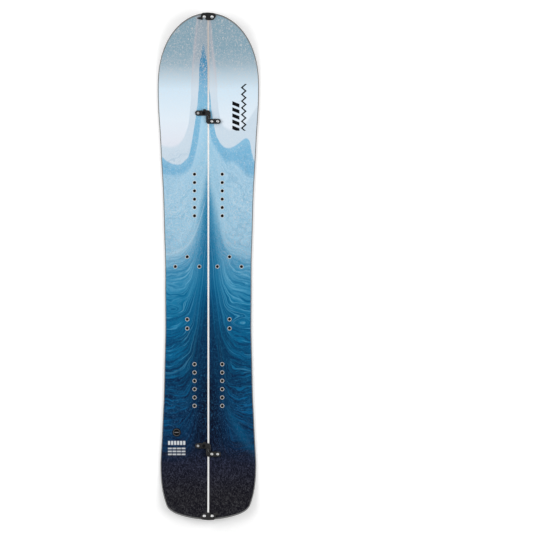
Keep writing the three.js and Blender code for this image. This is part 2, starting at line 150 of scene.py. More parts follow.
def inset(station, distance):
    x, y, nx, ny = station
    return max(x - nx * distance, SEAM), y - ny * distance


# ---------------------------------------------------------------------------------------------
# Mesh helpers: every builder returns (vertices in mm, faces)
def loft(rings):
    n = len(rings[0])
    verts = [p for ring in rings for p in ring]
    faces = []
    for i in range(len(rings) - 1):
        for j in range(n):
            a, b = i * n + j, i * n + (j + 1) % n
            faces.append((a, b, b + n, a + n))
    end = (len(rings) - 1) * n
    faces.append(tuple(range(n - 1, -1, -1)))
    faces.append(tuple(range(end, end + n)))
    return verts, faces


def lathe(profile, sides=40):
    """Turns (radius, height) points about z; off the axis at both ends, the ring closes."""
    verts, rows = [], []
    for r, z in profile:
        if r == 0:
            rows.append([len(verts)] * sides)
            verts.append((0, 0, z))
            continue
        rows.append(list(range(len(verts), len(verts) + sides)))
        for k in range(sides):
            t = 2 * math.pi * k / sides
            verts.append((r * math.cos(t), r * math.sin(t), z))
    if profile[0][0] != 0:
        rows.append(rows[0])
    faces = []
    for lower, upper in zip(rows, rows[1:]):
        for k in range(sides):
            q = [lower[k], lower[(k + 1) % sides], upper[(k + 1) % sides], upper[k]]
            face = tuple(dict.fromkeys(q))
            if len(face) > 2:
                faces.append(face)
    return verts, faces


def arc(cx, cy, r, start, stop, steps):
    angles = [math.radians(start + (stop - start) * i / steps) for i in range(steps + 1)]
    return [(cx + r * math.cos(t), cy + r * math.sin(t)) for t in angles]


def slab(outline, z0, z1, bevel=0.0, segments=3):
    """An outline raised from z0 to z1, with rounded rims."""
    bm = bmesh.new()
    face = bm.faces.new([bm.verts.new((x, y, z0)) for x, y in outline])
    grown = bmesh.ops.extrude_face_region(bm, geom=[face])
    moved = [g for g in grown["geom"] if isinstance(g, bmesh.types.BMVert)]
    bmesh.ops.translate(bm, verts=moved, vec=(0, 0, z1 - z0))
    bmesh.ops.recalc_face_normals(bm, faces=bm.faces)
    if bevel:
        rims = [e for e in bm.edges if abs(e.verts[0].co.z - e.verts[1].co.z) < 1e-6]
        bmesh.ops.bevel(bm, geom=rims, offset=bevel, segments=segments, profile=0.5, affect="EDGES")
    bm.verts.index_update()
    data = [tuple(v.co) for v in bm.verts], [tuple(v.index for v in f.verts) for f in bm.faces]
    bm.free()
    return data


def moved(shape, x=0.0, y=0.0, z=0.0, matrix=None):
    verts, faces = shape
    m = matrix or Matrix.Translation((x, y, z))
    return [tuple(m @ Vector(v)) for v in verts], faces


def merged(shapes):
    verts, faces = [], []
    for v, f in shapes:
        base = len(verts)
        verts += v
        faces += [tuple(i + base for i in face) for face in f]
    return verts, faces


def mirrored(shape):
    verts, faces = shape
    return [(-x, y, z) for x, y, z in verts], [tuple(reversed(f)) for f in faces]


def to_object(name, shape):
    verts, faces = shape
    mesh = bpy.data.meshes.new(name)
    mesh.from_pydata([(x / 1000, (y + SHIFT) / 1000, z / 1000) for x, y, z in verts], [], faces)
    bm = bmesh.new()
    bm.from_mesh(mesh)
    bmesh.ops.remove_doubles(bm, verts=bm.verts, dist=1e-7)
    bmesh.ops.recalc_face_normals(bm, faces=bm.faces)
    bm.to_mesh(mesh)
    bm.free()
    obj = bpy.data.objects.new(name, mesh)
    bpy.context.scene.collection.objects.link(obj)
    return obj


def combine(obj, shape, operation):
    """Joins a shape to obj, or takes it out of obj."""
    tool = to_object("tool", shape)
    mod = obj.modifiers.new("combine", "BOOLEAN")
    mod.operation, mod.solver, mod.object = operation, "EXACT", tool
    graph = bpy.context.evaluated_depsgraph_get()
    mesh = bpy.data.meshes.new_from_object(obj.evaluated_get(graph))
    obj.modifiers.clear()
    old = obj.data
    obj.data = mesh
    mesh.name = obj.name
    bpy.data.meshes.remove(old)
    bpy.data.objects.remove(tool)


def cut(obj, cutters):
    combine(obj, merged(cutters), "DIFFERENCE")


def finish_piece(obj, nodes, body, material, angle=32):
    """Gives obj its shading and material, and hides the CAD nodes it stands for."""
    obj.data.polygons.foreach_set("use_smooth", [True] * len(obj.data.polygons))
    obj.data.set_sharp_from_angle(angle=math.radians(angle))
    obj.data.materials.clear()
    obj.data.materials.append(material)
    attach(obj, body)
    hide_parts(*nodes)
    return obj


def piece(name, shape, nodes, body, material, cutters=(), angle=32):
    obj = to_object(name, shape)
    if cutters:
        cut(obj, list(cutters))
    return finish_piece(obj, nodes, body, material, angle)


# ---------------------------------------------------------------------------------------------
# Shader helpers
def linear(r, g, b):
    def one(c):
        c /= 255
        return c / 12.92 if c <= 0.04045 else ((c + 0.055) / 1.055) ** 2.4
    return (one(r), one(g), one(b), 1.0)


class Value:
    """A node socket with arithmetic."""

    def __init__(self, graph, socket):
        self.graph, self.socket = graph, socket

    def _op(self, kind, *others, flip=False):
        args = [self, *others]
        return self.graph.math(kind, *(reversed(args) if flip else args))

    def __add__(self, o):
        return self._op("ADD", o)

    __radd__ = __add__

    def __sub__(self, o):
        return self._op("SUBTRACT", o)

    def __rsub__(self, o):
        return self._op("SUBTRACT", o, flip=True)

    def __mul__(self, o):
        return self._op("MULTIPLY", o)

    __rmul__ = __mul__

    def __truediv__(self, o):
        return self._op("DIVIDE", o)

    def __pow__(self, o):
        return self._op("POWER", o)

    def __abs__(self):
        return self._op("ABSOLUTE")

    def exp(self):
        return self._op("EXPONENT")

    def sin(self):
        return self._op("SINE")

    def frac(self):
        return self._op("FRACT")

    def floor(self):
        return self._op("FLOOR")

    def least(self, o):
        return self._op("MINIMUM", o)

    def most(self, o):
        return self._op("MAXIMUM", o)

    def step(self, a, b):
        """0 below a, 1 above b, smooth between."""
        node = self.graph.node("ShaderNodeMapRange", interpolation_type="SMOOTHSTEP")
        self.graph.feed(node.inputs["Value"], self)
        for name, v in (("From Min", a), ("From Max", b)):
            self.graph.feed(node.inputs[name], v)
        return Value(self.graph, node.outputs["Result"])

    def bump_at(self, centre, width):
        t = (self - centre) / width
        return (0 - t * t).exp()

    def inside(self, a, b, soft=0.4):
        return self.step(a - soft, a + soft) * (1 - self.step(b - soft, b + soft))


class Graph:
    def __init__(self, name):
        self.material = bpy.data.materials.new(name)
        self.material.use_nodes = True
        self.tree = self.material.node_tree
        self.shader = self.tree.nodes["Principled BSDF"]
        self.coords = self.node("ShaderNodeTexCoord").outputs["Object"]
        split = self.node("ShaderNodeSeparateXYZ")
        self.tree.links.new(self.coords, split.inputs[0])
        self.x, self.y, self.z = (Value(self, split.outputs[i]) * 1000 for i in range(3))

    def node(self, kind, **settings):
        node = self.tree.nodes.new(kind)
        for k, v in settings.items():
            setattr(node, k, v)
        return node

    def feed(self, socket, value):
        if isinstance(value, Value):
            self.tree.links.new(value.socket, socket)
        else:
            socket.default_value = value

    def math(self, kind, *args):
        node = self.node("ShaderNodeMath", operation=kind)
        for socket, value in zip(node.inputs, args):
            self.feed(socket, value)
        return Value(self, node.outputs[0])

    def vector(self, x, y, z=0.0):
        node = self.node("ShaderNodeCombineXYZ")
        for socket, value in zip(node.inputs, (x, y, z)):
            self.feed(socket, value)
        return Value(self, node.outputs[0])

    def noise(self, vector=None, scale=1.0, detail=2.0, roughness=0.5, distortion=0.0):
        node = self.node("ShaderNodeTexNoise")
        self.feed(node.inputs["Vector"], vector or self.vector(self.x, self.y, self.z))
        for k, v in (("Scale", scale), ("Detail", detail), ("Roughness", roughness),
                     ("Distortion", distortion)):
            node.inputs[k].default_value = v
        return Value(self, node.outputs["Fac"])

    def cells(self, vector, scale):
        """The distance to the nearest cell edge."""
        node = self.node("ShaderNodeTexVoronoi", feature="DISTANCE_TO_EDGE")
        self.feed(node.inputs["Vector"], vector)
        node.inputs["Scale"].default_value = scale
        return Value(self, node.outputs["Distance"])

    def mix(self, fac, a, b, blend="MIX"):
        node = self.node("ShaderNodeMix", data_type="RGBA", blend_type=blend)
        self.feed(node.inputs[0], fac)
        self.feed(node.inputs[6], a)
        self.feed(node.inputs[7], b)
        return Value(self, node.outputs[2])

    def ramp(self, fac, stops):
        node = self.node("ShaderNodeValToRGB")
        points = node.color_ramp.elements
        while len(points) < len(stops):
            points.new(0.5)
        for point, (at, colour) in zip(points, stops):
            point.position = at
            point.color = colour if len(colour) == 4 else linear(*colour)
        self.feed(node.inputs[0], fac)
        return Value(self, node.outputs[0])

    def edge(self, x, points):
        """The y of a drawn boundary at each x."""
        node = self.node("ShaderNodeFloatCurve")
        node.mapping.use_clip = True
        line = node.mapping.curves[0].points
        while len(line) < len(points):
            line.new(0.5, 0.5)
        for point, (px, py) in zip(line, points):
            point.location = ((px + 160) / 320, (py + 800) / 1600)
        node.mapping.update()
        self.feed(node.inputs["Value"], (x + 160) / 320)
        return Value(self, node.outputs[0]) * 1600 - 800

    def bump(self, height, strength, distance):
        node = self.node("ShaderNodeBump")
        node.inputs["Strength"].default_value = strength
        node.inputs["Distance"].default_value = distance
        self.feed(node.inputs["Height"], height)
        return Value(self, node.outputs[0])

    def finish(self, colour=None, roughness=None, normal=None, **plain):
        for name, value in (("Base Color", colour), ("Roughness", roughness), ("Normal", normal)):
            if value is not None:
                self.feed(self.shader.inputs[name], value)
        for name, value in plain.items():
            self.shader.inputs[name.replace("_", " ")].default_value = value
        return self.material


# ---------------------------------------------------------------------------------------------
# Materials
# Boundaries in the print, as (x, y) points on the board in millimetres, left edge to right edge
HAZE_EDGE = [
    (-155, 375), (-143, 370), (-107, 364), (-87, 375), (-69, 405), (-59, 446), (-53, 507),
    (-49, 600), (-44, 655), (-38, 705), (-33, 760), (-28, 798), (-1, 798), (4, 760), (10, 695),
    (16, 640), (22, 590), (25, 551), (29, 500), (34, 462), (42, 436), (52, 424), (63, 418),
    (80, 418), (96, 424), (110, 434), (122, 446), (143, 478), (155, 495)]
WAVE_EDGE = [
    (-155, 345), (-143, 337), (-124, 320), (-100, 311), (-87, 311), (-70, 324), (-58, 342),
    (-50, 385), (-42, 433), (-36, 472), (-32, 510), (-29, 560), (-26, 620), (-20, 660),
    (-15, 680), (-9, 655), (-5, 635), (-1, 600), (2, 555), (7, 512), (10, 478), (15, 446),
    (24, 404), (33, 383), (45, 367), (60, 361), (75, 365), (95, 378), (110, 389), (119, 390),
    (127, 380), (133, 352), (140, 322), (148, 311), (155, 308)]
LIGHT_EDGE = [
    (-155, 286), (-120, 280), (-87, 281), (-61, 297), (-46, 320), (-34, 372), (-29, 410),
    (-24, 445), (-19, 470), (-14, 478), (-8, 462), (-2, 446), (3, 424), (8, 398), (14, 376),
    (25, 358), (40, 335), (50, 322), (75, 320), (90, 308), (105, 293), (118, 282), (155, 279)]

# Bright and dark strand colours of the marbled part, from the tail end to the middle
VEIN_RAMP = [(0.0, (24, 58, 96)), (0.1, (22, 68, 106)), (0.26, (20, 98, 148)),
             (0.4, (18, 100, 146)), (0.65, (34, 126, 170)), (0.85, (84, 160, 196)),
             (1.0, (150, 200, 224))]
GROOVE_RAMP = [(0.0, (16, 20, 38)), (0.3, (8, 26, 54)), (0.55, (8, 54, 92)), (0.8, (14, 92, 136)),
               (1.0, (84, 158, 196))]


def haze_and_wave(g, x, xw, yw):
    """The nose: a pale haze over a blue wave, with a lit rim."""
    up = (yw - 300) / 500
    # All three ramps turn greyer and darker towards the nose tip, where the nose lifts: print
    # colour with painted shade of the lifted nose in it.
    sky = g.ramp(up, [
        (0.0, (222, 228, 239)), (0.16, (226, 231, 241)), (0.3, (224, 236, 246)),
        (0.48, (210, 230, 244)), (0.56, (188, 208, 221)), (0.64, (154, 178, 192)),
        (0.73, (136, 166, 182)), (1.0, (136, 165, 180))])
    haze = g.ramp(up, [
        (0.0, (206, 222, 235)), (0.3, (202, 218, 231)), (0.48, (208, 222, 234)),
        (0.58, (188, 202, 213)), (0.68, (154, 170, 183)), (1.0, (150, 166, 177))])
    blue = g.ramp(up, [
        (0.0, (121, 182, 217)), (0.4, (126, 183, 214)), (0.5, (122, 178, 211)),
        (0.62, (84, 144, 182)), (0.68, (80, 140, 176)), (0.78, (122, 152, 174))])
    below = g.edge(xw, HAZE_EDGE) - yw
    colour = g.mix(below.step(-7, 7), sky, haze)
    streak = below.bump_at(0, 34) * yw.step(505, 600)
    colour = g.mix(streak * 0.4, colour, linear(206, 190, 194))
    below = g.edge(xw, WAVE_EDGE) - yw
    colour = g.mix(below.step(-2, 4), colour, blue)
    rim = below.inside(2, 16, 3) * abs(x).step(40, 70)
    return g.mix(rim * 0.35, colour, linear(150, 200, 228))


def print_colours(g, x, y):
    """The painted scene: haze at the nose, a blue wave, then marbled blues down to black."""
    wide = g.noise(g.vector(x, y, 3.0), 0.006, 1, 0.5)
    wavy = g.noise(g.vector(x, y, 11.0), 0.02, 2, 0.5)
    xw, yw = x + (wavy - 0.5) * 5, y + (wide - 0.5) * 14
    colour = haze_and_wave(g, x, xw, yw)
    # Marbled part: u falls from the flanks to the seam, so colours rise in a spire
    spire = (0 - (abs(xw) / 38) ** 1.2).exp()
    climb = y.step(-60, 60) * 55 + y.step(60, 210) * (62 - x.step(-2, 8) * 30) + 172
    u = yw - spire * (climb + (1 - y.step(-150, -40)) * 58) - x * 0.08
    # Strands follow lines of equal flow; the two eyes pull them into rings
    eyes = (0 - ((x + 107) / 34) ** 2 - ((y + 134) / 15) ** 2).exp()
    eyes = eyes + (0 - ((x - 98) / 38) ** 2 - ((y + 174) / 14) ** 2).exp()
    bend = g.noise(g.vector(x * 0.8, y * 0.9, 7.0), 0.012, 1, 0.4)
    curl = g.noise(g.vector(x, y * 1.6, 21.0), 0.03, 1, 0.4)
    flow = y - (0 - (abs(x) / 29) ** 1.4).exp() * 400
    flow = flow + (bend - 0.5) * 66 + (curl - 0.5) * 18 + eyes * 44
    coarse = g.noise(g.vector(flow, x * 0.04, 5.0), 0.034, 3, 0.62)
    fine = g.noise(g.vector(flow, x * 0.07, 9.0), 0.14, 2, 0.55)
    calm = (1 - y.step(-90, 30) * 0.62) * (1 - y.step(80, 300) * 0.75)
    side = abs(x).step(14, 60)
    u = u + ((coarse - 0.5) * 230 + (fine - 0.5) * 170 * side) * calm
    blues = g.ramp((u + 760) / 1000, [
        (0.0, (42, 41, 47)), (0.1, (37, 37, 45)), (0.17, (30, 36, 54)), (0.22, (20, 42, 72)),
        (0.3, (18, 52, 84)), (0.37, (12, 44, 74)), (0.46, (15, 66, 102)), (0.54, (12, 82, 124)),
        (0.6, (18, 100, 142)), (0.66, (30, 118, 160)), (0.71, (54, 136, 176)),
        (0.75, (92, 160, 195)), (0.79, (142, 191, 217)), (0.83, (161, 205, 229)),
        (0.87, (155, 201, 226)), (1.0, (166, 207, 231))])
    below = g.edge(xw, LIGHT_EDGE) - yw
    colour = g.mix(below.step(-9, 14), colour, blues)
    colour = marbling(g, y, colour, coarse, fine, side)
    colour = threads(g, x, y, colour, fine, side, spire, bend)
    drift = y * 0.9 - (0 - (abs(x) / 40) ** 1.2).exp() * 260
    return colour, wavy, drift + (bend - 0.5) * 190 + (curl - 0.5) * 60


def marbling(g, y, colour, coarse, fine, side):
    """Bright veins and dark grooves along the strands."""
    along = (y + 600) / 640
    marbled = y.inside(-590, 40, 70)
    bright, dark = g.ramp(along, VEIN_RAMP), g.ramp(along, GROOVE_RAMP)
    vein = fine.inside(0.58, 0.66, 0.04).most(fine.inside(0.43, 0.475, 0.03) * 0.7) * side
    colour = g.mix(coarse.step(0.52, 0.68) * marbled * 0.3, colour, bright)
    colour = g.mix(vein * marbled * 0.9, colour, bright)
    groove = (1 - fine.step(0.36, 0.46)).most((1 - coarse.step(0.34, 0.44)) * 0.8)
    return g.mix(groove * marbled * 0.6, colour, dark)


def threads(g, x, y, colour, fine, side, spire, bend):
    """Pale threads, the bright streak of the right flank, and the black core of the seam."""
    thread = fine.step(0.6, 0.66) * (1 - fine.step(0.67, 0.74))
    colour = g.mix(thread * side * y.inside(-330, 60, 60) * 0.34, colour, linear(120, 190, 220))
    left = (y - spire * 200).bump_at(34, 5) * (1 - x.step(-14, -6)) * y.inside(20, 240, 30)
    colour = g.mix(left * 0.45, colour, linear(196, 224, 238))
    across = y + 430 + (x - 45) * 1.5 + (bend - 0.5) * 50
    streak = (0 - (across / 26) ** 2).exp() * x.step(30, 80) * (0.4 + fine)
    colour = g.mix(streak.least(1) * 0.75, colour, linear(24, 84, 122))
    shade = (0 - ((abs(x) - 42) / 30) ** 2).exp() * y.inside(-520, -190, 60)
    colour = g.mix(shade * 0.34, colour, linear(10, 30, 54))
    width = ((-170 - y) * 0.12).most(0) + 7
    core = (0 - (abs(x) / width) ** 2).exp() * y.inside(-600, -310, 110)
    colour = g.mix(core * 0.92, colour, linear(14, 17, 33))
    colour = g.mix((-575 - y).step(-30, 45), colour, linear(36, 37, 49))
    return g.mix((-650 - y).step(-50, 60), colour, linear(37, 36, 42))


def insert_rings(x, y):
    """A thin pale ring in the print around every insert."""
    side = abs(x)
    rings = []
    for y0 in (FRONT_Y, REAR_Y):
        along = (((y - y0) / PITCH + 0.5).frac() - 0.5) * PITCH
        near = ((side - INSERT_X) ** 2 + along ** 2) ** 0.5
        rings.append(near.inside(*RING, 0.3) * y.inside(y0 - 12, y0 + 5 * PITCH + 12))
    for px, py in TOURING + RISER:
        near = ((side - px) ** 2 + (y - py) ** 2) ** 0.5
        rings.append(near.inside(*RING, 0.3))
    total = rings[0]
    for ring in rings[1:]:
        total = total.most(ring)
    return total


def print_marks(g, x, y, colour):
    """Plain abstract marks: stacked bars, a chevron band, a ringed disc and rows of dashes."""
    left, right, foot, head = 73, 95, 414, 504
    bars = ((y + (x - left) * 0.4 - foot - 4) / 18.6).frac().inside(0.05, 0.66, 0.02)
    bars = bars * x.inside(left, right) * y.inside(foot, head)
    teeth = abs(((y - foot + 2) / 20.6).frac() - 0.5) * 24
    chevrons = (1 - abs(x - right - 7 - teeth).step(2.6, 3.8)) * y.inside(foot, head + 53)
    colour = g.mix(bars.most(chevrons), colour, linear(10, 11, 13))
    disc_x, disc_y, disc_radius = -97, -507, 13
    dx, dy = x - disc_x, y - disc_y
    radius = (dx * dx + dy * dy) ** 0.5
    colour = g.mix(1 - radius.step(disc_radius, disc_radius + 0.8), colour, linear(11, 11, 12))
    ring = radius.inside(disc_radius - 3.4, disc_radius - 2.6, 0.3)
    dash = abs(dy).inside(-1, 1.2, 0.2) * abs(dx).inside(-1, 6.5, 0.2)
    colour = g.mix(ring.most(dash) * 0.8, colour, linear(128, 130, 134))
    left, right, foot, head = -124, -69, -579, -552
    columns = x.inside(left, right)
    thick = ((x - left) / 9.2).frac().inside(0.1, 0.82, 0.05)
    thick = thick * columns * y.inside(head + 7, head + 19)
    rows = ((y - foot) / 9).frac().inside(0.3, 0.82, 0.08)
    rows = rows * ((x - left) / 13.8).frac().inside(0.05, 0.9, 0.03)
    rows = rows * columns * y.inside(foot, head)
    return g.mix(thick.most(rows * 0.8), colour, linear(206, 210, 214))


def grain(g, x, y, colour, wavy, drift):
    """Fine grain: pale worm flecks at the nose, strands and specks below, a net at the tail."""
    worm = g.noise(g.vector(x, y * 0.62, wavy * 3), 0.2, 1, 0.5, 0.8)
    speck = g.noise(g.vector(x, y, 1.0), 0.75, 2, 0.6)
    strand = g.noise(g.vector(drift, x * 0.05, 15.0), 0.13, 3, 0.6)
    fleck = 1 - abs(worm - 0.5).step(0.012, 0.04)
    thin = 1 - abs(worm - 0.5).step(0.006, 0.03)
    net = 1 - abs(worm - 0.5).step(0.014, 0.06)
    up = y.step(-20, 60) * (1 - (0 - (x / 46) ** 2).exp() * (1 - y.step(170, 300)))
    nose, dusk = y.step(480, 620), 1 - y.step(-640, -500)
    # At the nose the pale flecks turn grey: painted shade of the lifted nose.
    colour = g.mix(fleck * up * (0.3 + y.inside(20, 210, 60) * 0.42 + nose * 0.45), colour,
                   g.mix(nose, linear(228, 232, 236), linear(200, 202, 204)))
    colour = g.mix(strand.step(0.54, 0.64) * up * (1 - y.step(220, 340)) * 0.38, colour,
                   linear(196, 222, 236))
    colour = g.mix((1 - strand.step(0.36, 0.46)) * up * (1 - y.step(300, 420)) * 0.28, colour,
                   linear(104, 160, 192))
    colour = g.mix(speck.step(0.5, 0.75) * (1 - y.step(-250, 160)) * 0.4, colour,
                   linear(5, 10, 24))
    colour = g.mix(dusk * (1 - net) * 0.4, colour, linear(19, 19, 23))
    colour = g.mix(net * dusk * 0.8, colour,
                   g.mix(y.step(-720, -560), linear(68, 68, 71), linear(66, 68, 88)))
    colour = g.mix(thin * y.inside(-600, -400, 80) * 0.5, colour, linear(56, 62, 96))
    colour = g.mix(thin * y.inside(-520, 120, 100) * 0.5, colour, linear(52, 112, 154))
    tone = speck.step(0.35, 0.7) - 0.5
    amount = y.inside(-560, 330, 120) * 0.16 + y.inside(-40, 330, 90) * 0.4
    light = g.mix(y.step(0, 130), linear(70, 156, 200), linear(176, 212, 232))
    return g.mix(abs(tone) * amount, colour,
                 g.mix((tone * 9 + 0.5).least(1).most(0), linear(6, 40, 78), light))


def top_sheet_material():
    g = Graph("top_sheet_print")
    x, y = g.x, g.y - SHIFT
    colour, wavy, drift = print_colours(g, x, y)
    colour = grain(g, x, y, colour, wavy, drift)
    # The sheen of the clear film adds a little light everywhere
    colour = g.mix(1.0, colour, (0.009, 0.009, 0.009, 1), "SUBTRACT")
    colour = g.mix(insert_rings(x, y) * 0.85, colour, linear(232, 229, 224))
    colour = print_marks(g, x, y, colour)
    net = 1 - g.cells(g.vector(x, y * 0.8, wavy * 2), 0.24).step(0.04, 0.16)
    scuff = g.noise(g.vector(x, y * 0.12, 2.0), 0.35, 3, 0.7)
    roughness = 0.36 + scuff * 0.14 + net * 0.05
    fine = g.noise(g.vector(x, y, g.z), 1.6, 2, 0.6)
    return g.finish(colour, roughness, g.bump(fine * 0.5 + net * 0.3, 0.1, 0.0002),
                    Specular_IOR_Level=0.08)


def base_material():
    g = Graph("sintered_base")
    x, y = g.x, g.y - SHIFT
    grind = g.noise(g.vector(x, y * 0.012, 0.0), 2.2, 3, 0.7)
    cross = g.noise(g.vector(x + y * 0.25, y * 0.02, 4.0), 0.9, 2, 0.6)
    cloud = g.noise(g.vector(x, y, 6.0), 0.01, 3, 0.5)
    colour = g.mix(cloud, linear(10, 10, 11), linear(20, 20, 22))
    colour = g.mix(grind.step(0.55, 0.75) * 0.3, colour, linear(40, 40, 43))

    def blocks(x0, x1, y0, y1, lean=0.35, pitch=44):
        """A column of plain slanted blocks."""
        u = y + (x - x0) * lean
        filled = ((u - y0) / pitch).frac().inside(0.08, 0.86, 0.012)
        return x.inside(x0, x1) * u.inside(y0, y1) * filled

    marks = blocks(64, 118, 346, 522).most(blocks(-114, -57, -614, -438))
    colour = g.mix(marks, colour, linear(0, 150, 222))
    roughness = 0.3 + grind * 0.18 + cloud * 0.08
    height = grind * 0.7 + cross * 0.3
    return g.finish(colour, roughness, g.bump(height, 0.25, 0.00012), Specular_IOR_Level=0.45)


def steel_material():
    g = Graph("edge_steel")
    streak = g.noise(g.vector(g.x * 0.25, g.y * 0.08, g.z * 1.5), 1.5, 3, 0.7)
    spots = g.noise(None, 0.06, 3, 0.6)
    colour = g.mix(streak, linear(86, 86, 88), linear(118, 119, 122))
    colour = g.mix(spots.step(0.62, 0.8) * 0.3, colour, linear(110, 92, 74))
    return g.finish(colour, 0.26 + streak * 0.2, g.bump(streak, 0.15, 0.0001), Metallic=1.0)


def plastic_material(name, light, dark, rough=0.42, grain=0.9, bump=0.2, wear=None):
    g = Graph(name)
    speck = g.noise(None, grain, 3, 0.6)
    cloud = g.noise(None, 0.03, 3, 0.55)
    colour = g.mix(cloud * 0.6 + speck * 0.4, linear(*dark), linear(*light))
    if wear:
        scratch = g.noise(g.vector(g.x * 0.3, g.y * 1.4, g.z), 0.35, 4, 0.75, 1.5)
        colour = g.mix(scratch.step(0.62, 0.72) * 0.35, colour, linear(*wear))
    return g.finish(colour, rough + speck * 0.16, g.bump(speck, bump, 0.00015))


def sidewall_material(name, light, dark, tip=None):
    g = Graph(name)
    sanded = g.noise(g.vector(g.x * 0.2, g.y * 0.05, g.z * 2.5), 1.2, 3, 0.65)
    cloud = g.noise(None, 0.02, 3, 0.5)
    colour = g.mix(sanded * 0.6 + cloud * 0.4, linear(*dark), linear(*light))
    # Towards the nose the wall blends to the tip colour: painted shade of the lifted nose on the
    # white wall.
    if tip:
        colour = g.mix(g.y.step(470, 640) * 0.85, colour, linear(*tip))
    return g.finish(colour, 0.38 + sanded * 0.2, g.bump(sanded, 0.25, 0.00015))


def turned_metal(name, light, dark, rough=0.2):
    g = Graph(name)
    fine = g.noise(None, 2.4, 3, 0.7)
    smear = g.noise(g.vector(g.x * 0.4, g.y, g.z * 3), 0.5, 3, 0.6)
    colour = g.mix(smear, linear(*dark), linear(*light))
    return g.finish(colour, rough + fine * 0.18, g.bump(fine, 0.08, 0.0001), Metallic=1.0)


LAMELLA = 14


def wood_material():
    g = Graph("laminated_wood")
    strip = (g.x / LAMELLA).floor()
    tone = g.noise(g.vector(strip * 7.3, 0.5, 0.0), 1.0, 0, 0.5)
    rings = g.noise(g.vector(g.x, g.y * 0.03, g.z + strip * 9), 0.5, 4, 0.6, 1.2)
    seam = (g.x / LAMELLA).frac().inside(0.0, 0.03, 0.01)
    colour = g.mix(tone.step(0.3, 0.7), linear(196, 160, 112), linear(222, 190, 146))
    colour = g.mix(rings.step(0.45, 0.7) * 0.4, colour, linear(156, 116, 74))
    colour = g.mix(seam * 0.5, colour, linear(110, 82, 52))
    return g.finish(colour, 0.62 + rings * 0.15, g.bump(rings, 0.2, 0.0002))


THREAD_PITCH = 1.0


def insert_material():
    g = Graph("insert_metal")
    fine = g.noise(None, 3.0, 3, 0.7)
    deep = g.z.step(TOP - 0.25, TOP - 0.08)
    thread = (g.z * (2 * math.pi / THREAD_PITCH)).sin()
    # Below the mouth the bore is painted near-black: painted shade inside the hole; the mouth keeps
    # the metal's own dark grey.
    colour = g.mix(deep, linear(8, 7, 7), g.mix(fine, linear(34, 32, 31), linear(58, 56, 54)))
    height = thread * (1 - deep) + fine * 0.1
    return g.finish(colour, 0.34 + fine * 0.2, g.bump(height, 0.4, 0.0002), Metallic=0.35)


PRINT = top_sheet_material()
BASE = base_material()
STEEL = steel_material()
OUTER_WALL = sidewall_material("outer_sidewall_abs", (126, 127, 126), (92, 93, 92))
# The inner wall's last colour is painted shade of the lifted nose on the white seam wall.
INNER_WALL = sidewall_material("inner_sidewall_abs", (255, 255, 254), (248, 247, 245),
                               (190, 180, 174))
CLIP = plastic_material("glass_filled_nylon", (17, 17, 18), (6, 6, 7), 0.38, 1.4, 0.3, (48, 48, 50))
BOLT = turned_metal("stainless_bolt", (246, 246, 246), (214, 215, 217), 0.26)
DARK_BOLT = turned_metal("black_oxide_bolt", (46, 46, 48), (22, 22, 24), 0.3)
NUT = turned_metal("dull_nut", (150, 150, 152), (112, 112, 116), 0.28)
WASHER = plastic_material("washer_nylon", (38, 38, 40), (22, 22, 24), 0.5, 1.6, 0.2)
SPACER = plastic_material("tip_spacer_abs", (222, 217, 205), (198, 192, 178), 0.5, 0.7, 0.2)
WOOD = wood_material()
INSERT = insert_material()


# ---------------------------------------------------------------------------------------------
# Halves
def panel(low, high, bevel_top=True):
    """A sheet inside the edges, from low(y) to high(y) above the base's underside."""
    rows = [p for p in (inset(s, PANEL_IN) for s in STATIONS) if p[0] > PANEL_IN + 1.2]
    rings = []
    for x, y in rows:
        b, t = low(y), high(y)
        if bevel_top:
            e = min(0.35, (x - PANEL_IN) * 0.2)
            section = [(PANEL_IN, b), (x, b), (x, t - 0.3), (x - e, t), (PANEL_IN + 0.2, t),
                       (PANEL_IN, t - 0.2)]
        else:
            section = [(PANEL_IN, b), (x, b), (x, t), (PANEL_IN, t)]
        rings.append([place(px, y, d) for px, d in section])
    return loft(rings)


def outer_strip(section):
    """A strip round a half's outer edge; its section is (distance in from the edge, height)."""
    rings = []
    for s in STATIONS:
        ring = []
        for off, d in section:
            x, y = inset(s, off)
            ring.append(place(x, y, d(y) if callable(d) else d))
        rings.append(ring)
    return loft(rings)


def inner_strip(section, count=420):
    """A strip along the seam; its section is (distance from the seam, height)."""
    end = HALF_LENGTH - PANEL_IN
    rings = []
    for i in range(count + 1):
        y = end - 2 * end * i / count
        rings.append([place(x, y, d(y) if callable(d) else d) for x, d in section])
    return loft(rings)


def below_top(drop):
    return lambda y: surface_top(y) - drop


def tip_matrix(end, side):
    """A tip clip's axes: x across the seam, y towards the tip, z out of the lifted board."""
    by = NOSE_INSET if end > 0 else TAIL_INSET
    y = end * (HALF_LENGTH - by * math.cos(slope(end * (HALF_LENGTH - by))))
    a = slope(y)
    across = Vector((end, 0, 0))
    along = Vector((0, end * math.cos(a), end * math.sin(a)))
    up = Vector((0, -math.sin(a), math.cos(a)))
    m = Matrix((across, along, up)).transposed().to_4x4()
    m.translation = Vector(place(0, y, surface_top(y) if side == "top" else 0))
    return m


def rod(r, z0, z1, sides=40):
    return lathe([(0, z0), (r, z0), (r, z1), (0, z1)], sides)


def row(x, y):
    return [(x, y + i * PITCH) for i in range(6)]


GROUPS = {"front_inserts": row(INSERT_X, FRONT_Y), "rear_inserts": row(INSERT_X, REAR_Y),
          "touring_inserts": TOURING, "riser_inserts": RISER}


def hull(points):
    """The convex outline round some points."""
    pts = sorted(set((round(x, 5), round(y, 5)) for x, y in points))

    def chain(seq):
        out = []
        for p in seq:
            while len(out) > 1 and ((out[-1][0] - out[-2][0]) * (p[1] - out[-2][1])
                                    - (out[-1][1] - out[-2][1]) * (p[0] - out[-2][0])) <= 1e-7:
                out.pop()
            out.append(p)
        return out[:-1]
    return chain(pts) + chain(pts[::-1])


